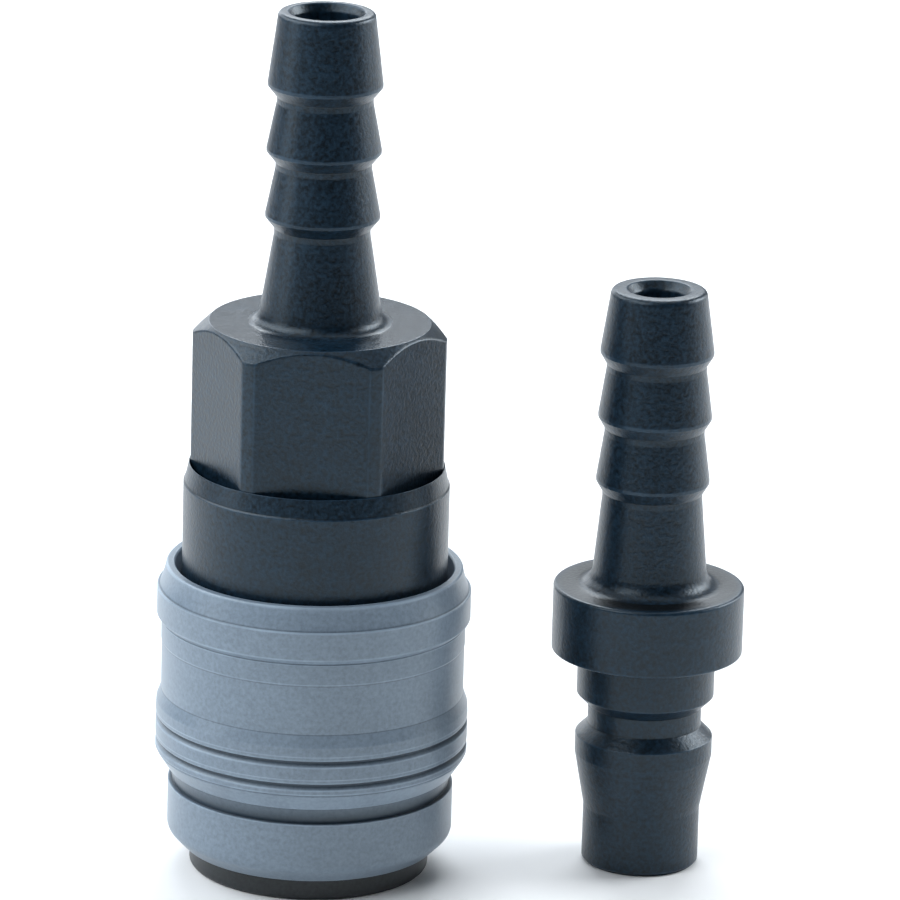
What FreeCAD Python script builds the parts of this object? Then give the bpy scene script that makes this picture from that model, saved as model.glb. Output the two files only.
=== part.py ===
"""A plastic quick disconnect coupling, as its two halves stand side by side.

The socket stands on its mouth with its hose tail up. A ring of balls round the
mouth is held in by a spring-loaded sleeve, and a sprung valve closes the bore
behind it. The plug stands on its nose beside it. Turned over and pushed into
the mouth, its groove comes level with the balls.

Millimetres. Each piece of the socket is made about Z, with z = 0 at the mouth face
that it stands on. The origin then moves to the middle of the pair's footprint.
"""

import FreeCAD, Part
import math
import os

Vector = FreeCAD.Vector
AXIS = Vector(0, 0, 1)
ORIGIN = Vector(0, 0, 0)

# Clearances
RUN_GAP = 0.05          # radial, between pieces that slide in each other
SEAT_GAP = 0.03         # between a ball or a seal and the face it lies against
FACE_GAP = 0.05         # between end faces that meet

# Plug nose, from its tip up
GUIDE_R = 5.84          # the two guiding lands, before and behind the groove
NOSE_STEP = 0.88        # how much narrower the front cylinder is
NOSE_LENGTH = 5.0
NOSE_TAPER_LENGTH = 4.7
LAND_LENGTH = 1.65
GROOVE_DEPTH = 1.01     # its flanks slope at 45 degrees
GROOVE_FLOOR = 1.65
SHANK_LENGTH = 3.85     # from the groove to the collar
NOSE_EDGE = 0.3         # chamfer at the tip
PLUG_COLLAR_R = 8.1
PLUG_COLLAR_HEIGHT = 5.8
PLUG_COLLAR_ROUND = 0.3
PLUG_BORE_R = 2.15
PLUG_X = 28.27          # where the plug stands, from the socket's axis
PLUG_Y = 2.8

# Hose tails, heights above the face that each tail rises from
CREST_R = 4.8           # barb crests, for a hose of 8 to 9 mm bore
CREST_LAND = 0.25
CREST_BACK = 0.95       # height of the cone under a crest
CREST_PITCH = 5.6
CREST_COUNT = 3
WAIST_LENGTH = 0.5      # short cylinder under that cone
TIP_STEP = 0.78         # how much narrower the tip is than a crest
TIP_ROUND = 0.34
SOCKET_BARB_DEPTH = 0.77
SOCKET_FIRST_CREST = 9.3
SOCKET_TIP_RISE = 6.0   # last crest to tip
SOCKET_NECK_R = 5.25
SOCKET_NECK_FILLET = 0.45
SOCKET_BORE_R = 2.85
PLUG_BARB_DEPTH = 0.56
PLUG_FIRST_CREST = 9.4
PLUG_TIP_RISE = 5.15
PLUG_NECK_R = 4.95
PLUG_NECK_FILLET = 1.5

# Ball lock
BALL_COUNT = 6
BALL_R = 1.5
SLEEVE_STROKE = 2.7
COLLAR_STANDOFF = 0.4   # from the mouth to the plug's collar when they are locked
BALL_SEAT_ANGLE = 15.0  # half angle of the cone that keeps a ball from falling in

# Main body
MOUTH_CHAMFER = 0.6
LEAD_WIDTH = 0.18       # how much wider the mouth is where the nose enters
LEAD_LENGTH = 2.7       # of that stretch, which ends before the balls
MOUTH_CONE_LENGTH = 2.7 # from the wide mouth bore to the bore for the nose
NOSE_BORE_LEAD = 0.3    # how far the nose's cylinder stands out of its bore
PACKING_FROM_TIP = 3.8  # start of the packing groove, back from the nose's tip
PACKING_HEIGHT = 2.4
PACKING_DEPTH = 1.65
PACKING_SQUEEZE = 0.13  # how far the packing lip reaches inside the nose's radius
PACKING_LIP = 0.19      # height of its rounded lip
NOSE_ROOM = 1.3         # from the nose's tip to the end of its bore
SEAT_BORE_LENGTH = 1.2
SEAT_BORE_R = 3.75
SEAT_CONE_WIDTH = 1.25
FLOW_GAP = 1.35         # round the valve's head
COLLAR_START = 22.6     # underside of the collar, where the sleeve's spring seats
COLLAR_HEIGHT = 12.8
COLLAR_WALL = 0.51      # round the hexagon's recess
COLLAR_CHAMFER = 1.65
COLLAR_EDGE = 0.2
HEX_SINK = 2.0          # depth of the recess that the hexagon sits in
RIM_LAND = 0.06         # width of the rim round that recess
SPIGOT_LENGTH = 4.9
SPIGOT_WALL = 1.4

# Stop ring round the mouth
STOP_HEIGHT = 1.95
STOP_SEAT_STEP = 0.46   # how much the body narrows to take the ring
STOP_INSET = 0.65       # how far it stands back from the sleeve's end face
STOP_ROUND = 0.4
SNAP_BEAD = 0.2

# Sleeve, from its mouth end up
SLEEVE_WALL = 1.55      # round the collar
SLEEVE_END_CHAMFER = 1.3
GRIP_FOOT_STEP = 0.7
GRIP_FOOT_HEIGHT = 5.43
UNDERCUT_DEPTH = 0.3    # groove over the foot
UNDERCUT_HEIGHT = 1.32
GRIP_CONE_STEP = 0.1    # how far the cone's lower edge overhangs the foot
GRIP_CONE_HEIGHT = 1.25
RIDGE_STEP = 0.38       # how far a ridge's edges stand out from the barrel
RIDGE_CROWN = 0.08      # how much further its middle does
LOW_RIDGE_HEIGHT = 1.21
MIDDLE_RIDGE_HEIGHT = 2.03
TOP_RIDGE_HEIGHT = 1.55
RIDGE_GROOVE_WIDTH = 0.34   # between two ridges
RIDGE_GROOVE_DEPTH = 0.25
FLARE_HEIGHT = 0.86     # cone from the top ridge up to the barrel
BARREL_HEIGHT = 5.7
BAND_RISE = 0.45
BAND_CHAMFER = 0.9
BAND_HEIGHT = 2.4
BAND_ROUND = 0.2
RIM_HEIGHT = 1.95
RIM_STEP = 0.22         # how far the rim's foot stands back from the band
RIM_WIDTH = 0.76
RIM_EDGE = 0.12
SLEEVE_MOUTH_GAP = 0.55 # round the collar, at the open end
SLEEVE_MOUTH_DEPTH = 1.2
HOLD_LENGTH = 4.0       # length of the land that holds the balls in
SPRING_POCKET_DEPTH = 6.4

# Springs
SLEEVE_SPRING_WIRE = 1.0
SLEEVE_SPRING_SLACK = 0.74
SLEEVE_SPRING_HALVES = 8    # half turns that climb
VALVE_SPRING_WIRE = 0.7
VALVE_SPRING_SLACK = 0.95
VALVE_SPRING_HALVES = 10

# Hose adapter
HEX_FLATS = 19.0
HEX_CORNER_CUT = 0.33   # how far the round stock cuts the corners back
HEX_HEIGHT = 14.35
HEX_TOP_INSET = 0.23
HEX_TOP_CHAMFER = 1.25
HEX_TURN = -2.3         # degrees from +X to a corner
VALVE_CAVITY_LENGTH = 9.5
THROAT_STEP = 1.3
THROAT_LENGTH = 1.5
THROAT_CONE = 3.0
GLAND_WIDTH = 1.25
GLAND_DEPTH = 1.1

# Valve
VALVE_LIFT = 3.6
POPPET_WALL = 1.4
POPPET_EDGE = 0.2
WINDOW_WIDTH = 2.6
WINDOW_HEIGHT = 2.9
HEAD_OVERLAP = 0.55     # how much wider the head is than its seat
HEAD_LAND = 0.9
HEAD_GAP = 0.12         # axial, between the closed head and its seat
HEAD_CLEAR = 0.75       # round the head in the adapter's cavity
RING_INSET = 0.6        # mean radius of the sealing ring beyond the seat's bore
RING_WIRE_R = 0.55
STEM_R = 1.9
STEM_BEYOND = 0.6       # how far the stem stands out of its guide at rest
STEM_EDGE = 0.4
GUIDE_DISC_HEIGHT = 1.6
GUIDE_HUB_WALL = 1.05
GUIDE_HUB_LENGTH = 3.4
GUIDE_RIM = 0.9
SPOKE_COUNT = 3
SPOKE_ANGLE = 36.0      # angle that each spoke of the guide takes up

# The plug and where it comes to rest in the socket
NOSE_R = GUIDE_R - NOSE_STEP
GROOVE_R = GUIDE_R - GROOVE_DEPTH
GROOVE_FROM_TIP = (NOSE_LENGTH + NOSE_TAPER_LENGTH + LAND_LENGTH + GROOVE_DEPTH
                   + GROOVE_FLOOR / 2)
GROOVE_TO_COLLAR = GROOVE_FLOOR / 2 + GROOVE_DEPTH + SHANK_LENGTH
PLUG_COLLAR_Z = GROOVE_FROM_TIP + GROOVE_TO_COLLAR
PLUG_FACE_Z = PLUG_COLLAR_Z + PLUG_COLLAR_HEIGHT
LOCK_HEIGHT = GROOVE_TO_COLLAR - COLLAR_STANDOFF
TIP_STOP = LOCK_HEIGHT + GROOVE_FROM_TIP

# The balls, and the sleeve's land and ramp that guide them
BALL_REST_R = GROOVE_R + BALL_R + SEAT_GAP
BALL_TRAVEL = GROOVE_DEPTH + RUN_GAP - SEAT_GAP
BODY_R = BALL_REST_R + BALL_R - RUN_GAP
HOLD_R = BALL_REST_R + BALL_R + SEAT_GAP
RAMP_SLOPE = BALL_TRAVEL / SLEEVE_STROKE
RAMP_STRETCH = math.sqrt(1 + RAMP_SLOPE ** 2)
HOLD_START = LOCK_HEIGHT + (BALL_R + SEAT_GAP) * (RAMP_STRETCH - 1) / RAMP_SLOPE
HOLD_END = HOLD_START + HOLD_LENGTH
POCKET_R = BALL_REST_R + BALL_TRAVEL + (BALL_R + SEAT_GAP) * RAMP_STRETCH
POCKET_TOP = LOCK_HEIGHT - SLEEVE_STROKE

# Bores of the body
MOUTH_R = GUIDE_R + RUN_GAP + SEAT_GAP
LEAD_R = MOUTH_R + LEAD_WIDTH
LEAD_END = MOUTH_CHAMFER + LEAD_LENGTH
NOSE_BORE_R = NOSE_R + 2 * RUN_GAP
NOSE_BORE_START = TIP_STOP - NOSE_LENGTH + NOSE_BORE_LEAD
PACKING_START = TIP_STOP - PACKING_FROM_TIP
SEAT_BORE_START = TIP_STOP + NOSE_ROOM
SEAT_CONE_START = SEAT_BORE_START + SEAT_BORE_LENGTH
SEAT_CONE_R = SEAT_BORE_R + SEAT_CONE_WIDTH
SEAT_CONE_END = SEAT_CONE_START + SEAT_CONE_WIDTH
HEAD_R = SEAT_CONE_R + HEAD_OVERLAP
CHAMBER_R = HEAD_R + FLOW_GAP
VALVE_CAVITY_R = HEAD_R + HEAD_CLEAR
SPIGOT_R = VALVE_CAVITY_R + SPIGOT_WALL

# The hexagon, the collar round it and the sleeve round the collar
COLLAR_TOP = COLLAR_START + COLLAR_HEIGHT
HEX_BOTTOM = COLLAR_TOP - HEX_SINK
HEX_TOP = HEX_BOTTOM + HEX_HEIGHT
HEX_CORNER_R = HEX_FLATS / math.sqrt(3) - HEX_CORNER_CUT
RECESS_R = HEX_CORNER_R + RUN_GAP
COLLAR_R = RECESS_R + COLLAR_WALL
SLEEVE_BORE_R = COLLAR_R + RUN_GAP
SLEEVE_MOUTH_R = COLLAR_R + SLEEVE_MOUTH_GAP
BARREL_R = SLEEVE_BORE_R + SLEEVE_WALL
BAND_R = BARREL_R + BAND_RISE
GRIP_FOOT_R = BARREL_R - GRIP_FOOT_STEP
SLEEVE_END_R = GRIP_FOOT_R - SLEEVE_END_CHAMFER
STOP_R = SLEEVE_END_R - STOP_INSET
STOP_BORE_R = BODY_R - STOP_SEAT_STEP
SLEEVE_BOTTOM = STOP_HEIGHT + FACE_GAP
FOOT_TOP = SLEEVE_BOTTOM + GRIP_FOOT_HEIGHT
RIDGE_R = BARREL_R + RIDGE_STEP
RIDGE_START = FOOT_TOP + UNDERCUT_HEIGHT + GRIP_CONE_HEIGHT
RIDGE_END = RIDGE_START + LOW_RIDGE_HEIGHT + MIDDLE_RIDGE_HEIGHT + TOP_RIDGE_HEIGHT
BARREL_START = RIDGE_END + FLARE_HEIGHT
BAND_START = BARREL_START + BARREL_HEIGHT + BAND_CHAMFER
BAND_TOP = BAND_START + BAND_HEIGHT
SLEEVE_TOP = BAND_TOP + RIM_HEIGHT

# The valve and its guide
SPIGOT_END = HEX_BOTTOM - SPIGOT_LENGTH
GUIDE_TOP = SPIGOT_END + VALVE_CAVITY_LENGTH
GUIDE_BOTTOM = GUIDE_TOP - GUIDE_DISC_HEIGHT
GUIDE_HUB_R = STEM_R + RUN_GAP + GUIDE_HUB_WALL
POPPET_R = SEAT_BORE_R - RUN_GAP
POPPET_FRONT = TIP_STOP - VALVE_LIFT
HEAD_CONE_START = SEAT_CONE_START + HEAD_GAP - RUN_GAP
HEAD_CONE_END = HEAD_CONE_START + HEAD_R - POPPET_R
HEAD_TOP = HEAD_CONE_END + HEAD_LAND
RING_R = SEAT_BORE_R + RING_INSET
RING_Z = SEAT_CONE_START + RING_INSET + (RING_WIRE_R + SEAT_GAP) * math.sqrt(2)

# The springs
SLEEVE_SPRING_R = BODY_R + SLEEVE_SPRING_SLACK + SLEEVE_SPRING_WIRE / 2
SPRING_POCKET_R = SLEEVE_SPRING_R + SLEEVE_SPRING_WIRE / 2 + SLEEVE_SPRING_SLACK
VALVE_SPRING_R = GUIDE_HUB_R + VALVE_SPRING_SLACK + VALVE_SPRING_WIRE / 2

# The middle of the pair's footprint, from the socket's axis
PAIR_MIDDLE = Vector((PLUG_X + PLUG_COLLAR_R - BAND_R) / 2, 0, 0)


def polar(radius, degrees, z=0.0):
    """The point at a radius and an angle from +X."""
    a = math.radians(degrees)
    return Vector(radius * math.cos(a), radius * math.sin(a), z)


def outline(*steps):
    """Edges of a half section in the XZ plane, given as (radius, z) points.

    A step of three items, (radius, z, "via"), is a point that the curve passes
    through on its way to the next one, which makes that stretch an arc.
    """
    points = [Vector(s[0], 0, s[1]) for s in steps]
    edges, i = [], 0
    while i < len(steps) - 1:
        if len(steps[i + 1]) == 3:
            edges.append(Part.Arc(points[i], points[i + 1], points[i + 2]).toShape())
            i += 2
        else:
            edges.append(Part.makeLine(points[i], points[i + 1]))
            i += 1
    if points[-1].distanceToPoint(points[0]) > 1e-6:
        edges.append(Part.makeLine(points[-1], points[0]))
    return edges


def turned(*steps):
    """A solid turned about Z from a closed half section."""
    face = Part.Face(Part.Wire(outline(*steps)))
    return face.revolve(ORIGIN, AXIS, 360)


def rounded_top(radius, z, size):
    """Outline steps up a wall, over its rounded top edge and onto the top face."""
    bulge = size * (1 - math.sqrt(0.5))
    return ((radius, z - size), (radius - bulge, z - bulge, "via"), (radius - size, z))


def rounded_bottom(radius, z, size):
    """Outline steps along a bottom face, over its rounded edge and up the wall."""
    bulge = size * (1 - math.sqrt(0.5))
    return ((radius - size, z), (radius - bulge, z + bulge, "via"), (radius, z + size))


def foot_fillet(radius, z, size):
    """Outline steps from a flat face at z up the hollow fillet of a wall."""
    bulge = size * (1 - math.sqrt(0.5))
    return ((radius + size, z), (radius + bulge, z + bulge, "via"), (radius, z + size))


def torus(mean_r, wire_r, z):
    """A round ring, such as a rubber seal."""
    return Part.makeTorus(mean_r, wire_r, Vector(0, 0, z), AXIS)


def half_turn(mean_r, wire, z, rise, start):
    """Half a turn of wire from an angle of start, tilted so that it climbs by rise."""
    section = Part.Face(Part.Wire(Part.makeCircle(
        wire / 2, Vector(mean_r, 0, z), Vector(0, 1, 0))))
    tilted = Vector(rise, 0, 2 * mean_r)
    ring = section.revolve(Vector(0, 0, z + rise / 2), tilted, 180)
    ring.rotate(ORIGIN, AXIS, start)
    return ring


def coil_spring(mean_r, wire, bottom, top, climbing):
    """A coil of climbing half turns between a flat half turn at each end."""
    low, high = bottom + wire / 2, top - wire / 2
    rise = (high - low) / climbing
    halves = [half_turn(mean_r, wire, low, 0, 0)]
    for k in range(climbing):
        halves.append(half_turn(mean_r, wire, low + k * rise, rise, 180 * (k + 1)))
    halves.append(half_turn(mean_r, wire, high, 0, 180 * (climbing + 1)))
    return halves[0].fuse(halves[1:])


def hose_tail(face_z, neck_r, fillet, barb_depth, first_crest, tip_rise):
    """Outline of a barbed hose tail, from its foot on a flat face up to its tip.

    The neck narrows to a waist under the first crest. Each barb is a cone that
    widens downwards to a short land, with a steep cone and a waist under it.
    """
    waist_r = CREST_R - barb_depth
    back = CREST_LAND + CREST_BACK
    steps = list(foot_fillet(neck_r, face_z, fillet))
    for k in range(CREST_COUNT):
        crest = face_z + first_crest + k * CREST_PITCH
        steps += [(waist_r, crest - back - WAIST_LENGTH), (waist_r, crest - back),
                  (CREST_R, crest - CREST_LAND), (CREST_R, crest)]
    tip_z = crest + tip_rise
    steps += rounded_top(CREST_R - TIP_STEP, tip_z, TIP_ROUND)
    return steps, tip_z


def hose_adapter():
    """Hexagon and hose tail with the spigot that fastens it in the body."""
    tail, tip_z = hose_tail(HEX_TOP, SOCKET_NECK_R, SOCKET_NECK_FILLET,
                            SOCKET_BARB_DEPTH, SOCKET_FIRST_CREST, SOCKET_TIP_RISE)
    tail_solid = turned((0, HEX_TOP), *tail, (0, tip_z))
    corners = [polar(HEX_FLATS / math.sqrt(3), HEX_TURN + 60 * k, HEX_BOTTOM)
               for k in range(6)]
    prism = Part.Face(Part.makePolygon(corners + corners[:1]))
    prism = prism.extrude(Vector(0, 0, HEX_HEIGHT))
    stock = turned((0, HEX_BOTTOM), (HEX_CORNER_R, HEX_BOTTOM),
                   (HEX_CORNER_R, HEX_TOP - HEX_TOP_CHAMFER),
                   (HEX_FLATS / 2 - HEX_TOP_INSET, HEX_TOP), (0, HEX_TOP))
    spigot = Part.makeCylinder(SPIGOT_R, SPIGOT_LENGTH, Vector(0, 0, SPIGOT_END))
    throat_r, throat_z = VALVE_CAVITY_R - THROAT_STEP, GUIDE_TOP + THROAT_LENGTH
    cavity = turned((0, SPIGOT_END), (VALVE_CAVITY_R, SPIGOT_END),
                    (VALVE_CAVITY_R, GUIDE_TOP), (throat_r, GUIDE_TOP),
                    (throat_r, throat_z), (SOCKET_BORE_R, throat_z + THROAT_CONE),
                    (SOCKET_BORE_R, tip_z), (0, tip_z))
    gland = turned((SPIGOT_R, HEX_BOTTOM), (SPIGOT_R + GLAND_WIDTH, HEX_BOTTOM),
                   (SPIGOT_R + GLAND_WIDTH, HEX_BOTTOM + GLAND_DEPTH),
                   (SPIGOT_R, HEX_BOTTOM + GLAND_DEPTH))
    solid = prism.common(stock).fuse([tail_solid, spigot]).cut(cavity).cut(gland)
    return solid.removeSplitter()


def ball_hole(degrees):
    """Radial hole for a ball, narrowed at the bore so that the ball can't fall in."""
    hole_r = BALL_R + SEAT_GAP
    slope = math.tan(math.radians(BALL_SEAT_ANGLE))
    cone_r = hole_r / math.cos(math.radians(BALL_SEAT_ANGLE))
    inner = MOUTH_R - 1.0
    wide = BALL_REST_R - (cone_r - hole_r) / slope
    narrow_r = cone_r + (inner - BALL_REST_R) * slope
    outwards = polar(1, degrees)
    seat = Part.makeCone(narrow_r, hole_r, wide - inner,
                         polar(inner, degrees, LOCK_HEIGHT), outwards)
    barrel = Part.makeCylinder(hole_r, BODY_R + 1.0 - wide,
                               polar(wide, degrees, LOCK_HEIGHT), outwards)
    return seat.fuse(barrel)


def snap_bead(radius):
    """Outline steps of the bead that the stop ring snaps over."""
    middle = STOP_HEIGHT / 2
    return ((radius, middle - 2 * SNAP_BEAD), (radius + SNAP_BEAD, middle),
            (radius, middle + 2 * SNAP_BEAD))


def main_body():
    """Tube with the mouth, the ball holes, the valve seat and the collar."""
    packing_r = NOSE_BORE_R + PACKING_DEPTH
    packing_end = PACKING_START + PACKING_HEIGHT
    shelf = SPIGOT_END - FACE_GAP
    solid = turned(
        (LEAD_R + MOUTH_CHAMFER, 0), (STOP_BORE_R, 0), *snap_bead(STOP_BORE_R),
        (STOP_BORE_R, STOP_HEIGHT), (BODY_R, STOP_HEIGHT), (BODY_R, COLLAR_START),
        (COLLAR_R - COLLAR_EDGE, COLLAR_START), (COLLAR_R, COLLAR_START + COLLAR_EDGE),
        (COLLAR_R, COLLAR_TOP - COLLAR_CHAMFER), (RECESS_R + RIM_LAND, COLLAR_TOP),
        (RECESS_R, COLLAR_TOP), (RECESS_R, HEX_BOTTOM),
        (SPIGOT_R + RUN_GAP, HEX_BOTTOM), (SPIGOT_R + RUN_GAP, shelf),
        (CHAMBER_R, shelf), (CHAMBER_R, SEAT_CONE_END),
        (SEAT_CONE_R, SEAT_CONE_END), (SEAT_BORE_R, SEAT_CONE_START),
        (SEAT_BORE_R, SEAT_BORE_START), (NOSE_BORE_R, SEAT_BORE_START),
        (NOSE_BORE_R, packing_end), (packing_r, packing_end),
        (packing_r, PACKING_START), (NOSE_BORE_R, PACKING_START),
        (NOSE_BORE_R, NOSE_BORE_START), (MOUTH_R, NOSE_BORE_START - MOUTH_CONE_LENGTH),
        (MOUTH_R, LEAD_END + LEAD_WIDTH), (LEAD_R, LEAD_END), (LEAD_R, MOUTH_CHAMFER))
    for k in range(BALL_COUNT):
        solid = solid.cut(ball_hole(360 / BALL_COUNT * k))
    return solid


def stop_ring():
    """Ring snapped on the mouth's end, which the sleeve rests against."""
    bead = tuple(reversed(snap_bead(STOP_BORE_R)))
    return turned((STOP_BORE_R, 0), *rounded_bottom(STOP_R, 0, STOP_ROUND),
                  *rounded_top(STOP_R, STOP_HEIGHT, STOP_ROUND / 2),
                  (STOP_BORE_R, STOP_HEIGHT), *bead)


def ridge_steps():
    """The three crowned grip ridges with their grooves, and the cone above them."""
    half = RIDGE_GROOVE_WIDTH / 2
    low_groove = RIDGE_START + LOW_RIDGE_HEIGHT
    high_groove = low_groove + MIDDLE_RIDGE_HEIGHT
    steps = [(RIDGE_R, RIDGE_START)]
    for low, high in ((RIDGE_START, low_groove - half),
                      (low_groove + half, high_groove - half),
                      (high_groove + half, RIDGE_END)):
        if low > RIDGE_START:
            steps += [(RIDGE_R - RIDGE_GROOVE_DEPTH, low - half), (RIDGE_R, low)]
        steps += [(RIDGE_R + RIDGE_CROWN, (low + high) / 2, "via"), (RIDGE_R, high)]
    return steps + [(BARREL_R, BARREL_START)]


def sleeve():
    """Grip sleeve: its inner land holds the balls in, its ramp lets them out."""
    rim_foot_r = BAND_R - RIM_STEP
    rim_corner_r = SLEEVE_MOUTH_R + RIM_WIDTH
    return turned(
        (POCKET_R, SLEEVE_BOTTOM), (SLEEVE_END_R, SLEEVE_BOTTOM),
        (GRIP_FOOT_R - 0.12, SLEEVE_BOTTOM + SLEEVE_END_CHAMFER - 0.3),
        (GRIP_FOOT_R, SLEEVE_BOTTOM + SLEEVE_END_CHAMFER + 0.3),
        (GRIP_FOOT_R, FOOT_TOP), (GRIP_FOOT_R - UNDERCUT_DEPTH, FOOT_TOP),
        (GRIP_FOOT_R - UNDERCUT_DEPTH, FOOT_TOP + UNDERCUT_HEIGHT),
        (GRIP_FOOT_R + GRIP_CONE_STEP, FOOT_TOP + UNDERCUT_HEIGHT), *ridge_steps(),
        (BARREL_R, BARREL_START + BARREL_HEIGHT), (BAND_R, BAND_START),
        *rounded_top(BAND_R, BAND_TOP, BAND_ROUND), (rim_foot_r, BAND_TOP),
        (rim_foot_r - 0.3, SLEEVE_TOP - RIM_HEIGHT / 2, "via"),
        (rim_corner_r, SLEEVE_TOP - RIM_EDGE), (rim_corner_r - RIM_EDGE, SLEEVE_TOP),
        (SLEEVE_MOUTH_R + RIM_EDGE, SLEEVE_TOP), (SLEEVE_MOUTH_R, SLEEVE_TOP - RIM_EDGE),
        (SLEEVE_BORE_R, SLEEVE_TOP - RIM_EDGE - SLEEVE_MOUTH_DEPTH),
        (SLEEVE_BORE_R, HOLD_END + SPRING_POCKET_DEPTH),
        (SPRING_POCKET_R, HOLD_END + SPRING_POCKET_DEPTH),
        (SPRING_POCKET_R, HOLD_END), (HOLD_R, HOLD_END), (HOLD_R, HOLD_START),
        (POCKET_R, POCKET_TOP))


def sleeve_spring():
    """Spring between the sleeve's land and the collar."""
    return coil_spring(SLEEVE_SPRING_R, SLEEVE_SPRING_WIRE, HOLD_END + FACE_GAP,
                       COLLAR_START - FACE_GAP, SLEEVE_SPRING_HALVES)


def lock_ball(k):
    """One locking ball, at rest on the seat in its hole."""
    return Part.makeSphere(BALL_R, polar(BALL_REST_R, 360 / BALL_COUNT * k, LOCK_HEIGHT))


def valve_poppet():
    """Valve with a windowed front tube, a sealing head and a guided stem."""
    tube_r = POPPET_R - POPPET_WALL
    window_top = HEAD_CONE_START - 0.1
    stem_top = GUIDE_TOP + STEM_BEYOND
    solid = turned(
        (tube_r, POPPET_FRONT), (POPPET_R - POPPET_EDGE, POPPET_FRONT),
        (POPPET_R, POPPET_FRONT + POPPET_EDGE), (POPPET_R, HEAD_CONE_START),
        (HEAD_R, HEAD_CONE_END), (HEAD_R, HEAD_TOP), (STEM_R, HEAD_TOP),
        (STEM_R, stem_top - STEM_EDGE), (STEM_R - STEM_EDGE, stem_top), (0, stem_top),
        (0, window_top + 0.6), (tube_r, window_top))
    span = 2 * POPPET_R + 1
    for turn in (0, 90):
        window = Part.makeBox(span, WINDOW_WIDTH, WINDOW_HEIGHT,
                              Vector(-span / 2, -WINDOW_WIDTH / 2, window_top - WINDOW_HEIGHT))
        window.rotate(ORIGIN, AXIS, turn)
        solid = solid.cut(window)
    return solid.cut(torus(RING_R, RING_WIRE_R + SEAT_GAP / 3, RING_Z))


def valve_seal():
    """Rubber ring in the valve head's cone."""
    return torus(RING_R, RING_WIRE_R, RING_Z)


def valve_guide():
    """Spoked disc whose hub guides the valve's stem."""
    disc_r, hole_r = VALVE_CAVITY_R - RUN_GAP, STEM_R + RUN_GAP
    disc = turned((hole_r, GUIDE_TOP - GUIDE_HUB_LENGTH),
                  (GUIDE_HUB_R, GUIDE_TOP - GUIDE_HUB_LENGTH), (GUIDE_HUB_R, GUIDE_BOTTOM),
                  (disc_r, GUIDE_BOTTOM), (disc_r, GUIDE_TOP), (hole_r, GUIDE_TOP))
    low_r, high_r = GUIDE_HUB_R + 0.3, disc_r - GUIDE_RIM
    window = Part.Face(Part.Wire(outline(
        (low_r, GUIDE_BOTTOM - 1), (high_r, GUIDE_BOTTOM - 1),
        (high_r, GUIDE_TOP + 1), (low_r, GUIDE_TOP + 1))))
    slot = window.revolve(ORIGIN, AXIS, 360 / SPOKE_COUNT - SPOKE_ANGLE)
    for k in range(SPOKE_COUNT):
        turn = slot.copy()
        turn.rotate(ORIGIN, AXIS, 360 / SPOKE_COUNT * k)
        disc = disc.cut(turn)
    return disc


def valve_spring():
    """Spring round the valve's stem, from its head to the guide."""
    return coil_spring(VALVE_SPRING_R, VALVE_SPRING_WIRE, HEAD_TOP + FACE_GAP,
                       GUIDE_BOTTOM - FACE_GAP, VALVE_SPRING_HALVES)


def nose_packing():
    """Rubber ring in the body's groove that seals on the plug's nose."""
    lip_r = NOSE_R - PACKING_SQUEEZE
    side_r = lip_r + PACKING_LIP
    outer_r = NOSE_BORE_R + PACKING_DEPTH - SEAT_GAP
    low = PACKING_START + FACE_GAP
    high = PACKING_START + PACKING_HEIGHT - FACE_GAP
    return turned((side_r, low), (outer_r, low), (outer_r, high), (side_r, high),
                  (lip_r, (low + high) / 2, "via"), (side_r, low))


def adapter_seal():
    """Rubber ring in the gland under the hexagon."""
    wire_r = (GLAND_DEPTH - SEAT_GAP) / 2
    return torus(SPIGOT_R + GLAND_WIDTH / 2, wire_r, HEX_BOTTOM + GLAND_DEPTH / 2)


def plug():
    """The other half: nose with its ball groove, collar and hose tail."""
    taper_z = NOSE_LENGTH + NOSE_TAPER_LENGTH
    groove_low = GROOVE_FROM_TIP - GROOVE_FLOOR / 2
    groove_high = GROOVE_FROM_TIP + GROOVE_FLOOR / 2
    tail, tip_z = hose_tail(PLUG_FACE_Z, PLUG_NECK_R, PLUG_NECK_FILLET,
                            PLUG_BARB_DEPTH, PLUG_FIRST_CREST, PLUG_TIP_RISE)
    solid = turned(
        (PLUG_BORE_R, 0), (NOSE_R - NOSE_EDGE, 0), (NOSE_R, NOSE_EDGE),
        (NOSE_R, NOSE_LENGTH), (GUIDE_R, taper_z), (GUIDE_R, taper_z + LAND_LENGTH),
        (GROOVE_R, groove_low), (GROOVE_R, groove_high),
        (GUIDE_R, groove_high + GROOVE_DEPTH), (GUIDE_R, PLUG_COLLAR_Z),
        *rounded_bottom(PLUG_COLLAR_R, PLUG_COLLAR_Z, PLUG_COLLAR_ROUND / 2),
        *rounded_top(PLUG_COLLAR_R, PLUG_FACE_Z, PLUG_COLLAR_ROUND),
        *tail, (PLUG_BORE_R, tip_z))
    solid.translate(Vector(PLUG_X, PLUG_Y, 0))
    return solid


def all_pieces():
    """Every piece by its name."""
    pieces = {
        "hose_adapter": hose_adapter(), "main_body": main_body(),
        "stop_ring": stop_ring(), "sleeve": sleeve(), "sleeve_spring": sleeve_spring(),
        "valve_poppet": valve_poppet(), "valve_seal": valve_seal(),
        "valve_spring": valve_spring(), "valve_guide": valve_guide(),
        "nose_packing": nose_packing(), "adapter_seal": adapter_seal(), "plug": plug(),
    }
    for k in range(BALL_COUNT):
        pieces["lock_ball_%d" % (k + 1)] = lock_ball(k)
    return pieces


os.makedirs("parts", exist_ok=True)
for name, shape in all_pieces().items():
    shape.translate(-PAIR_MIDDLE)
    shape.exportStep("parts/%s.step" % name)
    print("%-14s %8.1f mm3" % (name, shape.Volume))
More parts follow.
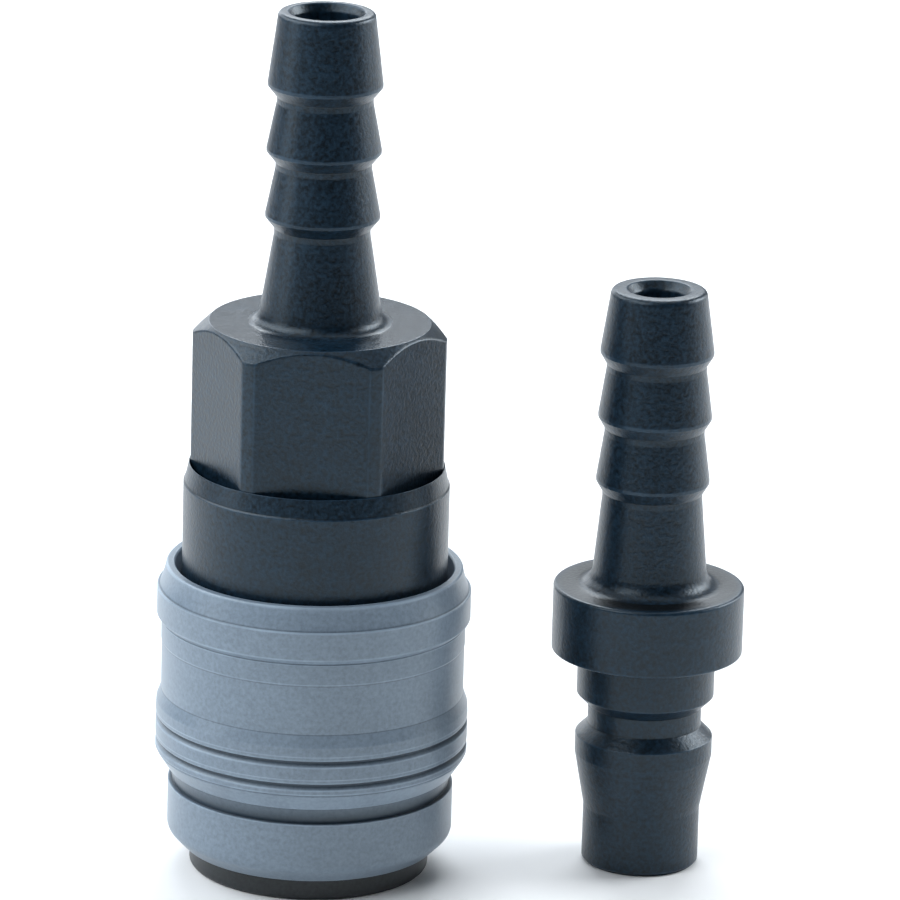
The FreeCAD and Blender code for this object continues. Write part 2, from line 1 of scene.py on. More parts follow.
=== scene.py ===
# %% [markdown]
# # A quick disconnect coupling, dressed for its picture
#
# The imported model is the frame: it says where each piece is and what moves with what.
# This lesson gives the pieces that show their moulded edges, winds the two springs,
# finishes every piece in its own plastic, steel or rubber, and sets up a plain floor,
# soft light and a camera at the photograph's angle.

# %% Load the frame
import math

import bmesh
import bpy
import numpy as np
from mathutils import Matrix, Vector


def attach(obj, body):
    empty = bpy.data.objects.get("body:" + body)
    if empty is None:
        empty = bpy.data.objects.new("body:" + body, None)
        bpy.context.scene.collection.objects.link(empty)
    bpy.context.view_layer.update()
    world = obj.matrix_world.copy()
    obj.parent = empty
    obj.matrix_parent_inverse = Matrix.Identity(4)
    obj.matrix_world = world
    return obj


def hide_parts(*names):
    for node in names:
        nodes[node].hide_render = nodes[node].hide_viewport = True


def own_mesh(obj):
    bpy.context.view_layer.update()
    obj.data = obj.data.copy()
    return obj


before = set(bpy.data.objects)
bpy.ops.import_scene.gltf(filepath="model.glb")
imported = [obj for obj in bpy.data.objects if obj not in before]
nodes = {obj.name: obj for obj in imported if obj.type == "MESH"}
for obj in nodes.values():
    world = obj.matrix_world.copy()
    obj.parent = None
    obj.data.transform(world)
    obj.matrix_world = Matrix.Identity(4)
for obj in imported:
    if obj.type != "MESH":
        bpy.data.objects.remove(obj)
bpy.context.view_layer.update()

MM = 0.001                              # the drawing is in millimetres, Blender in metres
SOCKET_AXIS = (-11.5602, 0.0)           # where the two halves stand
PLUG_AXIS = (16.7098, 2.8)

# %% [markdown]
# ## A turned shape with soft edges
#
# Every outer piece here is turned: its half section goes round an axis. A real moulding
# has no sharp edge, because the steel of its mould can't be sharp and the plastic shrinks,
# so each corner of the section gets its own small radius. Blender's Bevel could do that
# too, but it gives all edges of a piece one width. The section is a closed loop through
# the bore, so the surface closes on itself both ways and has no poles.
#
# Beside each point the section keeps how much it turns there: outer edges are positive,
# inner corners negative. The materials read that as the attribute "edge".

# %% Round a section's corners
ARC_STEPS = 5                           # faces over a rounded corner
SUPPORT = 0.10                          # extra points this far beyond each arc keep flats flat
TIGHT = 0.2                             # a wider arc than this counts less as an edge
SIDE_SHARE = 0.45                       # an arc takes at most this share of a side
ROOM = 2.4                              # a side this many times an arc's cut has extra points


def rounded(corners):
    """Radius, height and edge of a closed section, given as (radius, height, rounding).

    A corner of rounding p and half angle a is cut back by p / tan(a) along both its
    sides and bridged by an arc about a centre p / sin(a) away on their bisector. A
    rounding of 0 keeps the point as it is, for points on a curve. Edge is +1 on a tight
    outer arc, -1 on a tight inner arc, less on wide arcs and 0 elsewhere.
    """
    here, size = np.array(corners, float)[:, :2], np.array(corners, float)[:, 2]
    back, on = np.roll(here, 1, 0) - here, np.roll(here, -1, 0) - here
    back_length, on_length = np.linalg.norm(back, axis=1), np.linalg.norm(on, axis=1)
    back, on = back / back_length[:, None], on / on_length[:, None]
    bend = back[:, 1] * on[:, 0] - back[:, 0] * on[:, 1]
    arc = (size > 0) & (np.abs(bend) >= 1e-3)

    half = np.where(arc, np.arccos(np.clip((back * on).sum(1), -1, 1)) / 2, 1.0)
    cut = np.minimum(size / np.tan(half), SIDE_SHARE * np.minimum(back_length, on_length))
    size = np.where(arc, cut * np.tan(half), 1.0)
    bisector = np.where(arc[:, None], back + on, 1.0)
    bisector /= np.linalg.norm(bisector, axis=1)[:, None]
    centre = here + bisector * (size / np.sin(half))[:, None]
    first, last = here + back * cut[:, None], here + on * cut[:, None]
    start = np.arctan2(*(first - centre).T[::-1])
    sweep = (np.arctan2(*(last - centre).T[::-1]) - start + math.pi) % (2 * math.pi) - math.pi
    angles = start[:, None] + sweep[:, None] * np.linspace(0, 1, ARC_STEPS + 1)
    ring = centre[:, None] + size[:, None, None] * np.stack([np.cos(angles), np.sin(angles)], -1)

    points = np.concatenate([(first + back * SUPPORT)[:, None], ring,
                             (last + on * SUPPORT)[:, None]], 1)
    points[~arc] = here[~arc][:, None]
    edge = np.zeros(points.shape[:2])
    edge[:, 1:-1] = np.where(arc, np.copysign(np.minimum(1.0, TIGHT / size), bend), 0)[:, None]
    keep = np.repeat(arc[:, None], points.shape[1], 1)
    keep[:, 0] = ~arc | (back_length > ROOM * (cut + SUPPORT))
    keep[:, -1] &= on_length > ROOM * (cut + SUPPORT)
    return np.column_stack([points[keep], edge[keep]])


# %% [markdown]
# ## How deep a point lies in a groove
#
# The grooves are painted darker than the walls, as painted shade. A second
# attribute, "hollow", says how deep a point lies, as a straight edge laid along the wall
# would show it, and the materials darken by it. Blender has an Ambient Occlusion node for
# this, but a number on the mesh is quicker and looks the same from every side.

# %% Measure the grooves
GROOVE_REACH = 1.6                      # half the length of the straight edge


def groove_depth(r, z):
    """Depth under a straight edge: the lesser of the greatest radius within reach
    above and within reach below, less the point's own radius. Only points on the
    outside are measured, which come before the section turns down into its bore.
    """
    outside = np.arange(len(r)) <= np.argmax(z)
    gap = z[None, :] - z[:, None]
    above = np.where((gap >= 0) & (gap <= GROOVE_REACH) & outside, r[None, :], 0).max(1)
    below = np.where((gap <= 0) & (gap >= -GROOVE_REACH) & outside, r[None, :], 0).max(1)
    return np.where(outside, np.clip(np.minimum(above, below) - r, 0, 1), 0)


# %% [markdown]
# ## From a section to a mesh
#
# Carried round the axis, the section is a grid of points, one row for each point of the
# section. The faces between them follow from the grid's own numbering, so no loop over
# points is needed. Blender's Screw modifier turns a section too, but it would lose the
# numbers that belong to each point.

# %% Turn a grid of points into a mesh
PAINTED_LIGHT_EDGE = 0.62                      # what the painted-light band counts as, where an edge is 1
SAME_PLACE = 0.0001                     # points closer than this, in mm, are one point


def new_piece(name, points, faces):
    """A smooth mesh from points in millimetres, as an object in the scene."""
    mesh = bpy.data.meshes.new(name)
    mesh.from_pydata(points.reshape(-1, 3) * MM, [], faces)
    mesh.shade_smooth()
    piece = bpy.data.objects.new(name, mesh)
    bpy.context.scene.collection.objects.link(piece)
    return piece


def merged(piece):
    """Merges points of a piece that lie on each other, and so drops faces of no area."""
    shape = bmesh.new()
    shape.from_mesh(piece.data)
    before = len(shape.verts)
    bmesh.ops.remove_doubles(shape, verts=shape.verts, dist=SAME_PLACE * MM)
    shape.to_mesh(piece.data)
    print(f"{piece.name}: {before - len(shape.verts)} points merged with a neighbour")
    shape.free()


def grid_piece(name, points, **attributes):
    """A mesh from points[i, j] on a grid that closes on itself both ways.

    Face (i, j) joins (i, j), (i, j+1), (i+1, j+1) and (i+1, j), so it looks outwards
    where j goes round the axis and i runs anticlockwise round the section.
    """
    rows, cols = points.shape[:2]
    here = np.arange(rows * cols).reshape(rows, cols)
    side, up = np.roll(here, -1, 1), np.roll(here, -1, 0)
    faces = np.stack([here, side, np.roll(side, -1, 0), up], -1).reshape(-1, 4)
    piece = new_piece(name, points, faces)
    for key, values in attributes.items():
        layer = piece.data.attributes.new(key, "FLOAT", "POINT")
        layer.data.foreach_set("value", np.broadcast_to(values, (rows, cols))
                               .astype(np.float32).ravel())
    return piece


def turned(name, corners, axis, columns, painted_light_band=(0, 0)):
    """A piece of revolution: x = r cos(t), y = r sin(t) about its own upright axis.
    Between the two heights of the last argument its outside counts as more than half an edge,
    which paints that band lighter as painted light.
    """
    r, z, edge = rounded(corners).T
    # Painted light: the outside of this band is painted lighter through the edge attribute.
    hold = (z > painted_light_band[0]) & (z < painted_light_band[1]) & (np.arange(len(z)) < np.argmax(z))
    edge = np.where(hold, PAINTED_LIGHT_EDGE, edge)
    t = np.linspace(0, 2 * math.pi, columns, endpoint=False)
    points = np.stack(np.broadcast_arrays(axis[0] + r[:, None] * np.cos(t),
                                          axis[1] + r[:, None] * np.sin(t), z[:, None]), -1)
    piece = grid_piece(name, points, edge=edge[:, None], hollow=groove_depth(r, z)[:, None])
    print(f"{name}: {len(r)} points in the section, {len(piece.data.polygons)} faces")
    return piece


# %% [markdown]
# ## The barbed hose tails
#
# Both tails are the same idea: a neck that rises from its face in a hollow fillet, three
# barbs that widen downwards to a short land, and a steep cone under each that bites into
# the hose. The bore opens in a flared mouth, so that only a narrow ring is left of the
# rim. One function writes that stretch of the section, from the tail's foot to its bore,
# because the two tails differ only in a few lengths.

# %% Write the section of a hose tail
CREST_R, CREST_LAND, CREST_BACK, CREST_PITCH = 4.8, 0.25, 0.95, 5.6
WAIST_LENGTH = 0.5                      # short cylinder under a barb's steep cone
TIP_R = 4.02
MOUTH_DEPTH = 0.7                       # of the flare
CREST_EDGE, WAIST_EDGE = 0.06, 0.14     # roundings


def hose_tail(face, neck_r, fillet, depth, first_crest, tip_rise, mouth_r, bore_r):
    """Corners from the fillet at the neck's foot, up over three barbs and the tip, into
    the bore. Crest k stands at face + first_crest + k pitches; the waist between two
    crests is narrower than they are by depth.
    """
    waist = CREST_R - depth
    back = CREST_LAND + CREST_BACK
    corners = [(neck_r, face, fillet)]
    for k in range(3):
        crest = face + first_crest + k * CREST_PITCH
        corners += [(waist, crest - back - WAIST_LENGTH, 0.3), (waist, crest - back, WAIST_EDGE),
                    (CREST_R, crest - CREST_LAND, CREST_EDGE), (CREST_R, crest, 0.1)]
    tip = crest + tip_rise
    return corners + [(TIP_R, tip, 0.5), (mouth_r, tip, 0.2), (bore_r, tip - MOUTH_DEPTH, 0.5)]


# %% [markdown]
# ## The plug
#
# The plug is one moulding: a narrow nose that seals in the socket, a taper up to the
# guiding land, the groove that the balls lock in, a collar and the hose tail. It is all
# turned, so its section says everything.

# %% Make the plug
PLUG_FACE = 24.67                       # top of its collar
PLUG_BORE_R, PLUG_MOUTH_R = 2.15, 2.75
NOSE_R, LAND_R, GROOVE_R, PLUG_COLLAR_R = 4.96, 5.84, 4.83, 8.1


def make_plug():
    """The plug's section, anticlockwise from the bore's foot."""
    corners = [(PLUG_BORE_R, 0, 0.15), (NOSE_R - 0.3, 0, 0.08), (NOSE_R, 0.3, 0.12),
               (NOSE_R, 5.0, 0.8), (LAND_R, 9.7, 0.4), (LAND_R, 11.35, 0.12),
               (GROOVE_R, 12.36, 0.12), (GROOVE_R, 14.01, 0.12), (LAND_R, 15.02, 0.12),
               (LAND_R, 18.87, 0.15), (PLUG_COLLAR_R, 18.87, 0.15),
               (PLUG_COLLAR_R, PLUG_FACE, 0.3)]
    tail = hose_tail(PLUG_FACE, 4.95, 1.5, 0.56, 9.4, 5.3, PLUG_MOUTH_R, PLUG_BORE_R)
    return turned("plug_moulding", corners + tail, PLUG_AXIS, 160)


plug = make_plug()
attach(plug, "housing")
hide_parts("plug")

# %% [markdown]
# ## The sleeve
#
# The sleeve is what the hand pulls. From its open top down it has a tapered rim, a band, a
# plain barrel, three grip ridges with fine grooves between them, a cone, an undercut and
# the foot. Inside are the pocket of its spring, the land that holds the balls in, and the
# ramp that lets them out. The rim bulges a little, so its outside is a short curve.

# %% Make the sleeve
FOOT_R, FOOT_TOP, BARREL_R, RIDGE_R, BAND_R = 12.10, 7.43, 12.80, 13.22, 13.25
BAND_TOP, SLEEVE_TOP = 24.65, 26.6
GROOVES = (11.21, 13.22)                # heights of the grooves between the ridges
GROOVE_CUT = 0.32
SLEEVE_BORE_R, SPRING_POCKET_R, HOLD_R, BALL_POCKET_R = 11.25, 10.29, 7.89, 9.028
PAINTED_LIGHT_BAND = (8.9, 10.3)                    # heights of the cone, painted lighter as painted light


def make_sleeve():
    """The sleeve's section, anticlockwise from the edge of its ball pocket. The rim's
    outside is a straight line less a parabola, u (1 - u), along its height.
    """
    foot = [(BALL_POCKET_R, 2.0, 0.1), (10.8, 2.0, 0.2), (FOOT_R, 3.3, 1.0),
            (FOOT_R, FOOT_TOP, 0.06), (11.70, FOOT_TOP, 0.04), (11.92, 8.80, 0.04),
            (12.20, 8.86, 0.05)]
    ridges = [(13.10, 10.22, 0.12), (13.08, 10.34, 0.02), (RIDGE_R, 10.44, 0.1)]
    for z in GROOVES:
        ridges += [(RIDGE_R, z - 0.36, 0.1), (RIDGE_R - GROOVE_CUT, z - 0.08, 0.04),
                   (RIDGE_R - GROOVE_CUT, z + 0.05, 0.04), (RIDGE_R - 0.02, z + 0.24, 0.05),
                   (RIDGE_R, z + 0.55, 0.2)]
    barrel = [(RIDGE_R - 0.04, 14.56, 0.5), (BARREL_R, 15.60, 0.06), (BARREL_R, 19.86, 0.02),
              (BARREL_R + 0.05, 19.98, 0.02), (BARREL_R + 0.05, 21.70, 0.1)]
    band = [(BARREL_R, 21.78, 0.14), (BAND_R, 22.22, 0.12), (BAND_R, BAND_TOP, 0.12),
            (13.03, BAND_TOP, 0.03)]
    u = np.linspace(0, 1, 9)[1:-1]
    rim = [(13.03 - 0.52 * a - 0.18 * a * (1 - a), BAND_TOP + 1.83 * a, 0) for a in u]
    rim += [(12.51, 26.48, 0.06), (12.39, SLEEVE_TOP, 0.05), (11.87, SLEEVE_TOP, 0.05),
            (11.75, 26.48, 0.06)]
    inside = [(SLEEVE_BORE_R, 25.28, 0.1), (SLEEVE_BORE_R, 15.967, 0.05),
              (SPRING_POCKET_R, 15.967, 0.05), (SPRING_POCKET_R, 9.567, 0.05),
              (HOLD_R, 9.567, 0.05), (HOLD_R, 5.567, 0.05), (BALL_POCKET_R, 2.585, 0.05)]
    return turned("sleeve_moulding", foot + ridges + barrel + band + rim + inside,
                  SOCKET_AXIS, 224, PAINTED_LIGHT_BAND)


sleeve = make_sleeve()
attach(sleeve, "sleeve")
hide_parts("sleeve")

# %% [markdown]
# ## The stop ring
#
# The dark ring under the sleeve is snapped over a small bead on the body's end, and the
# sleeve rests against it. Its outer edges are rounded, and its bore has the bead's groove.

# %% Make the stop ring
STOP_R, STOP_BORE_R, STOP_HEIGHT = 10.15, 7.35, 1.95
BEAD_LOW, BEAD_MIDDLE, BEAD_HIGH, BEAD_RISE = 0.575, 0.975, 1.375, 0.2

stop = turned("stop_ring_moulding",
              [(STOP_BORE_R, 0, 0.05), (STOP_R, 0, 0.4), (STOP_R, STOP_HEIGHT, 0.2),
               (STOP_BORE_R, STOP_HEIGHT, 0.03), (STOP_BORE_R, BEAD_HIGH, 0.05),
               (STOP_BORE_R + BEAD_RISE, BEAD_MIDDLE, 0.05), (STOP_BORE_R, BEAD_LOW, 0.05)],
              SOCKET_AXIS, 160)
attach(stop, "housing")
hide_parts("stop_ring")

# %% [markdown]
# ## The hexagon with its hose tail
#
# The hexagon looks as if six flats were milled on a turned piece, so it is the smaller of
# two distances from the axis: that of the turned section, and that of the flats. A smooth
# minimum of the two leaves a small radius on every edge where they meet, and draws the
# arched tops of the flats by itself. A Boolean would make the same shape, but with sharp
# edges and a mesh that is hard to round afterwards.

# %% Space the columns and soften the meeting of two surfaces
HEX_FLATS, HEX_CORNER_R, HEX_TURN = 19.0, 10.64, math.radians(-2.3)
HEX_BOTTOM, HEX_TOP = 33.4, 47.75
HEX_SOFT = 0.10                         # how far the smooth minimum reaches


def hex_columns():
    """Angles round the hexagon, close together near both ends of each corner's land."""
    land = math.pi / 6 - math.acos(HEX_FLATS / 2 / HEX_CORNER_R)
    near = np.array([-0.03, -0.018, -0.01, -0.004, 0.0, 0.004, 0.01, 0.018, 0.03])
    steps = np.concatenate([np.linspace(-0.47, -land - 0.04, 12), -land + near,
                            np.linspace(-land + 0.04, land - 0.04, 3), land + near,
                            np.linspace(land + 0.04, 0.47, 12)])
    return (HEX_TURN + np.arange(6)[:, None] * math.pi / 3 + steps).ravel()


def smooth_min(a, b, k):
    """The smaller of a and b, eased by h squared k / 4 where they differ by less than k."""
    h = np.clip(1 - np.abs(a - b) / k, 0, None)
    return np.minimum(a, b) - h * h * k / 4, h


# %% Make the hexagon and its tail
TOP_FACE_R, TOP_BEVEL, TOP_BEVEL_STEP = 9.27, 1.25, 1.37
SPIGOT_BORE_R, SPIGOT_R, SPIGOT_END, SHOULDER = 6.3, 7.7, 28.5, 38.0
THROAT_R, TAIL_BORE_R, TAIL_MOUTH_R = 5.0, 2.85, 3.2
GLAND_R, GLAND_TOP = 8.95, 34.5         # groove for the rubber ring under the hexagon


def make_adapter():
    """Grid whose radius is the smooth minimum of the turned section and the six flats,
    which stand at HEX_FLATS / 2 / cos(angle from the flat's middle). The attribute
    "polish" marks the flat top face.
    """
    corners = [(SPIGOT_BORE_R, SPIGOT_END, 0.05), (SPIGOT_R, SPIGOT_END, 0.1),
               (SPIGOT_R, HEX_BOTTOM, 0), (SPIGOT_R, GLAND_TOP, 0), (GLAND_R, GLAND_TOP, 0),
               (GLAND_R, HEX_BOTTOM, 0), (HEX_CORNER_R, HEX_BOTTOM, 0.05)]
    corners += [(HEX_CORNER_R, z, 0) for z in np.linspace(36, 46.2, 6)]
    u = np.linspace(0, 1, 22)[:-1]
    corners += [(HEX_CORNER_R - TOP_BEVEL_STEP * a, HEX_TOP - TOP_BEVEL * (1 - a), 0) for a in u]
    corners += [(TOP_FACE_R, HEX_TOP, 0.12)]
    corners += hose_tail(HEX_TOP, 5.25, 1.0, 0.77, 9.3, 6.0, TAIL_MOUTH_R, TAIL_BORE_R)
    corners += [(TAIL_BORE_R, 42.5, 0.3), (THROAT_R, 39.5, 0.2), (THROAT_R, SHOULDER, 0.05),
                (SPIGOT_BORE_R, SHOULDER, 0.05)]
    r, z, edge = rounded(corners).T
    t = hex_columns()
    flats = HEX_FLATS / 2 / np.cos((t - HEX_TURN) % (math.pi / 3) - math.pi / 6)
    radius, soft = smooth_min(r[:, None], flats[None, :], HEX_SOFT)
    inner = (r < 9)[:, None]
    radius = np.where(inner, r[:, None], radius)
    edge = np.where(inner, edge[:, None], np.maximum(edge[:, None], soft))
    points = np.stack(np.broadcast_arrays(SOCKET_AXIS[0] + radius * np.cos(t),
                                          SOCKET_AXIS[1] + radius * np.sin(t),
                                          z[:, None]), -1)
    polish = (np.abs(z - HEX_TOP) < 0.01) & (r < 9.3)
    piece = grid_piece("hose_adapter_moulding", points, edge=edge, polish=polish[:, None],
                       hollow=groove_depth(np.where(z > HEX_TOP, r, 9), z)[:, None])
    merged(piece)
    print(f"hose_adapter_moulding: {len(piece.data.polygons)} faces, tip at {z.max():.2f} mm")
    return piece


adapter = make_adapter()
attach(adapter, "housing")
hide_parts("hose_adapter")

# %% [markdown]
# ## The body
#
# Only the body's collar and mouth show, but its six ball holes are seen from below and
# beside the balls when the sleeve is pulled up. They are cut with a Boolean, as a drill
# would cut them, because a grid of the section can't have holes. Each hole narrows
# towards the bore, so that its ball can't fall in.

# %% Make the body
BODY_R, BODY_COLLAR_R, RECESS_R, SPIGOT_HOLE_R = 7.81, 11.2, 10.69, 7.75
NOSE_BORE_R, PACKING_R, MOUTH_R, LEAD_R = 5.06, 6.71, 5.92, 6.10
SEAT_BORE_R, SEAT_TOP_R, CHAMBER_R = 3.75, 5.0, 6.9


def make_body():
    """The body's section, anticlockwise from the mouth."""
    outside = [(LEAD_R + 0.6, 0, 0.05), (STOP_BORE_R, 0, 0.05), (STOP_BORE_R, BEAD_LOW, 0.05),
               (STOP_BORE_R + BEAD_RISE, BEAD_MIDDLE, 0.05), (STOP_BORE_R, BEAD_HIGH, 0.05),
               (STOP_BORE_R, STOP_HEIGHT, 0.03), (BODY_R, STOP_HEIGHT, 0.05),
               (BODY_R, 22.6, 0.1), (BODY_COLLAR_R - 0.2, 22.6, 0.05),
               (BODY_COLLAR_R, 22.8, 0.1), (BODY_COLLAR_R, 33.72, 0.12),
               (BODY_COLLAR_R - 0.11, 33.86, 0.06), (RECESS_R + 0.06, 35.4, 0.04)]
    recess = [(RECESS_R, 35.4, 0.02), (RECESS_R, HEX_BOTTOM, 0.05),
              (SPIGOT_HOLE_R, HEX_BOTTOM, 0.05), (SPIGOT_HOLE_R, 28.45, 0.05)]
    valve_seat = [(CHAMBER_R, 28.45, 0.05), (CHAMBER_R, 22.22, 0.1), (SEAT_TOP_R, 22.22, 0.03),
                  (SEAT_BORE_R, 20.97, 0.05), (SEAT_BORE_R, 19.77, 0.05)]
    packing = [(NOSE_BORE_R, 19.77, 0.05), (NOSE_BORE_R, 17.07, 0.05), (PACKING_R, 17.07, 0.05),
               (PACKING_R, 14.67, 0.05), (NOSE_BORE_R, 14.67, 0.05)]
    mouth = [(NOSE_BORE_R, 13.77, 0.15), (MOUTH_R, 11.07, 0.3), (MOUTH_R, 3.48, 0.05),
             (LEAD_R, 3.3, 0.05), (LEAD_R, 0.6, 0.1)]
    return turned("main_body_moulding", outside + recess + valve_seat + packing + mouth,
                  SOCKET_AXIS, 192)


body = make_body()

# %% Drill the ball holes
BALL_HEIGHT, BALL_HOLE_R, BALL_SEAT_R = 5.285, 1.53, 1.198
DRILL_ALONG = (4.92, 6.158, 8.81)       # from the axis: its end, its shank's start, its top
DRILL_SIDES = 40


def drills():
    """Six closed drills, point [drill, ring, side]: each is a cone that widens away from
    the axis and then a straight shank, turned by 60 degrees a drill.
    """
    radii = np.array([BALL_SEAT_R, BALL_HOLE_R, BALL_HOLE_R])[:, None]
    u = np.linspace(0, 2 * math.pi, DRILL_SIDES, endpoint=False)
    out, side, height = np.broadcast_arrays(np.array(DRILL_ALONG)[:, None], radii * np.cos(u),
                                            radii * np.sin(u) + BALL_HEIGHT)
    a = np.radians(60 * np.arange(6))[:, None, None]
    return np.stack([SOCKET_AXIS[0] + out * np.cos(a) - side * np.sin(a),
                     SOCKET_AXIS[1] + out * np.sin(a) + side * np.cos(a), height + 0 * a], -1)


def drilled(piece):
    """The piece with the drills taken out of it, as a plain mesh."""
    points = drills()
    here = np.arange(points[..., 0].size).reshape(points.shape[:3])
    ahead = np.roll(here, -1, 2)
    faces = np.stack([here[:, :-1], here[:, 1:], ahead[:, 1:], ahead[:, :-1]],
                     -1).reshape(-1, 4).tolist()
    faces += here[:, 0].tolist() + here[:, -1, ::-1].tolist()
    cutter = new_piece("drills", points, faces)
    cutter.data.shade_flat()
    cut = piece.modifiers.new("ball_holes", "BOOLEAN")
    cut.operation, cut.solver, cut.object = "DIFFERENCE", "EXACT", cutter
    seen = piece.evaluated_get(bpy.context.evaluated_depsgraph_get())
    mesh = bpy.data.meshes.new_from_object(seen)
    piece.modifiers.clear()
    piece.data = mesh
    bpy.data.objects.remove(cutter)
    merged(piece)
    print(f"{piece.name}: {len(piece.data.polygons)} faces with its ball holes")


drilled(body)
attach(body, "housing")
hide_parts("main_body")

# %% [markdown]
# ## The two springs
#
# Both springs are coils of round wire with a flat turn at each end. They are swept along
# their own helix: the sleeve's spring against the collar, the valve's spring against the
# spoked guide. Both are attached to the housing, so they keep their length when a joint
# moves. A curve object with a bevel would draw the same wire, but a mesh keeps its ends closed.

# %% Wind the springs
HALF_TURN_STEPS, WIRE_SIDES = 20, 14


def coil(name, mean_r, wire, bottom, top, climbing):
    """Wire round a helix: a flat half turn at each end and climbing half turns between.
    Each ring of points lies in the plane of the radius and the normal to the helix.
    """
    a = np.linspace(0, (climbing + 2) * math.pi, HALF_TURN_STEPS * (climbing + 2) + 1)
    z = bottom + wire / 2 + (top - bottom - wire) * np.clip((a / math.pi - 1) / climbing, 0, 1)
    radial = np.stack([np.cos(a), np.sin(a), 0 * a], -1)
    centre = radial * mean_r + np.stack([0 * a, 0 * a, z], -1)
    along = np.gradient(centre, axis=0)
    along /= np.linalg.norm(along, axis=1)[:, None]
    side = np.cross(along, radial)
    v = np.linspace(0, 2 * math.pi, WIRE_SIDES, endpoint=False)[None, :, None]
    ring = np.cos(v) * radial[:, None] + np.sin(v) * side[:, None]
    points = centre[:, None] + ring * wire / 2 + np.array([*SOCKET_AXIS, 0])
    here = np.arange(len(a) * WIRE_SIDES).reshape(len(a), WIRE_SIDES)
    faces = np.stack([here[:-1], np.roll(here, -1, 1)[:-1], np.roll(here, -1, 1)[1:],
                      here[1:]], -1).reshape(-1, 4).tolist()
    faces += [here[0, ::-1].tolist(), here[-1].tolist()]
    return new_piece(name, points, faces)


def spring(name, node, joint, travel, *size):
    """A coil that stands for a node, attached to the housing."""
    piece = coil(name, *size)
    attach(piece, "housing")
    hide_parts(node)
    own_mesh(piece)
    return piece


sleeve_coil = spring("sleeve_spring_coil", "sleeve_spring", "sleeve_slide", 2.7,
                     9.05, 1.0, 9.617, 22.55, 8)
valve_coil = spring("valve_spring_coil", "valve_spring", "valve_slide", 3.6,
                    4.30, 0.7, 23.84, 36.35, 10)

# %% [markdown]
# ## Building materials from nodes
#
# Every finish below is a chain of shader nodes. Making and linking them one by one takes
# many lines, so a small helper adds a node, sets it and links its inputs in one call.


# %% A small helper to build node materials
class Nodes:
    """Adds nodes to a material, and links an input that is given an output."""

    def __init__(self, name):
        self.material = bpy.data.materials.new(name)
        self.material.use_nodes = True
        self.tree = self.material.node_tree
        self.shader = self.tree.nodes["Principled BSDF"]

    def put(self, socket, value):
        """Links a socket to an output, or sets it to a plain value."""
        if isinstance(value, bpy.types.NodeSocket):
            self.tree.links.new(value, socket)
        else:
            socket.default_value = value

    def shade(self, **values):
        """Puts values on the shader's sockets; an underscore stands for a space."""
        for key, value in values.items():
            self.put(self.shader.inputs[key.replace("_", " ")], value)

    def add(self, kind, inputs=(), **settings):
        """A node of a kind, its settings and its inputs by name or number."""
        node = self.tree.nodes.new(kind)
        for key, value in settings.items():
            setattr(node, key, value)
        for key, value in dict(inputs).items():
            self.put(node.inputs[key], value)
        return node

    def math(self, operation, a, b=0.0):
        """One step of arithmetic on two values."""
        return self.add("ShaderNodeMath", {0: a, 1: b}, operation=operation).outputs[0]

    def between(self, value, low, high, to_low=0.0, to_high=1.0):
        """Maps low..high of a value to to_low..to_high, and holds it there."""
        return self.add("ShaderNodeMapRange", {"Value": value, "From Min": low,
                        "From Max": high, "To Min": to_low, "To Max": to_high}).outputs[0]

    def mix(self, factor, a, b):
        """Colour a where the factor is 0 and colour b where it is 1."""
        node = self.add("ShaderNodeMix", {"Factor": factor}, data_type="RGBA")
        self.put(node.inputs[6], (*a, 1) if isinstance(a, tuple) else a)
        self.put(node.inputs[7], (*b, 1) if isinstance(b, tuple) else b)
        return node.outputs[2]

    def noise(self, vector, scale, detail=2.0, rough=0.5):
        """Noise of a given scale, in cycles a metre."""
        return self.add("ShaderNodeTexNoise", {"Vector": vector, "Scale": scale,
                        "Detail": detail, "Roughness": rough}).outputs[0]

    def number(self, attribute):
        """A number that the mesh carries at its points."""
        return self.add("ShaderNodeAttribute", attribute_name=attribute).outputs["Fac"]

    def from_axis(self, axis):
        """The point in Object coordinates, centred on an upright axis."""
        place = self.add("ShaderNodeTexCoord").outputs["Object"]
        return self.add("ShaderNodeMapping", {"Vector": place, "Location":
                        (-axis[0] * MM, -axis[1] * MM, 0)}).outputs[0]


def dress(piece, material):
    """One material over the whole piece."""
    piece.data.materials.clear()
    piece.data.materials.append(material)


# %% [markdown]
# ## The plastics
#
# The socket and the plug are of one dark blue-black plastic, the sleeve of a paler blue
# one. Both are satin, with a fine grain, broken rings from turning, and edges painted a
# little lighter, partly as wear and partly as painted highlight. Grooves and inner corners
# are painted darker, as painted shade.
# The rings are the same noise squeezed 22 times in height, which breaks them up as real
# turning marks are, where a wave texture would draw them too evenly. The flat top of the
# hexagon is smoother than the rest.

# %% Mix the plastics
MOTTLE, GRAIN, RINGS = 260, 3000, 75    # noise scales, in cycles a metre
RING_SQUEEZE = 22
SHARES = 0.2, 0.6, 0.2                  # of mottle, grain and rings in the colour
# How much lighter edges are painted: partly wear, partly painted highlight.
WEAR_AND_HIGHLIGHT_LIGHTER = 1.6
# Painted shade: grooves and inner corners keep only these shares of the dark colour.
DEEP_SHADE = 0.11, 0.16, 0.20           # what is left of each colour channel in a groove
POLISHED = 0.15                         # how much smoother the polished face is


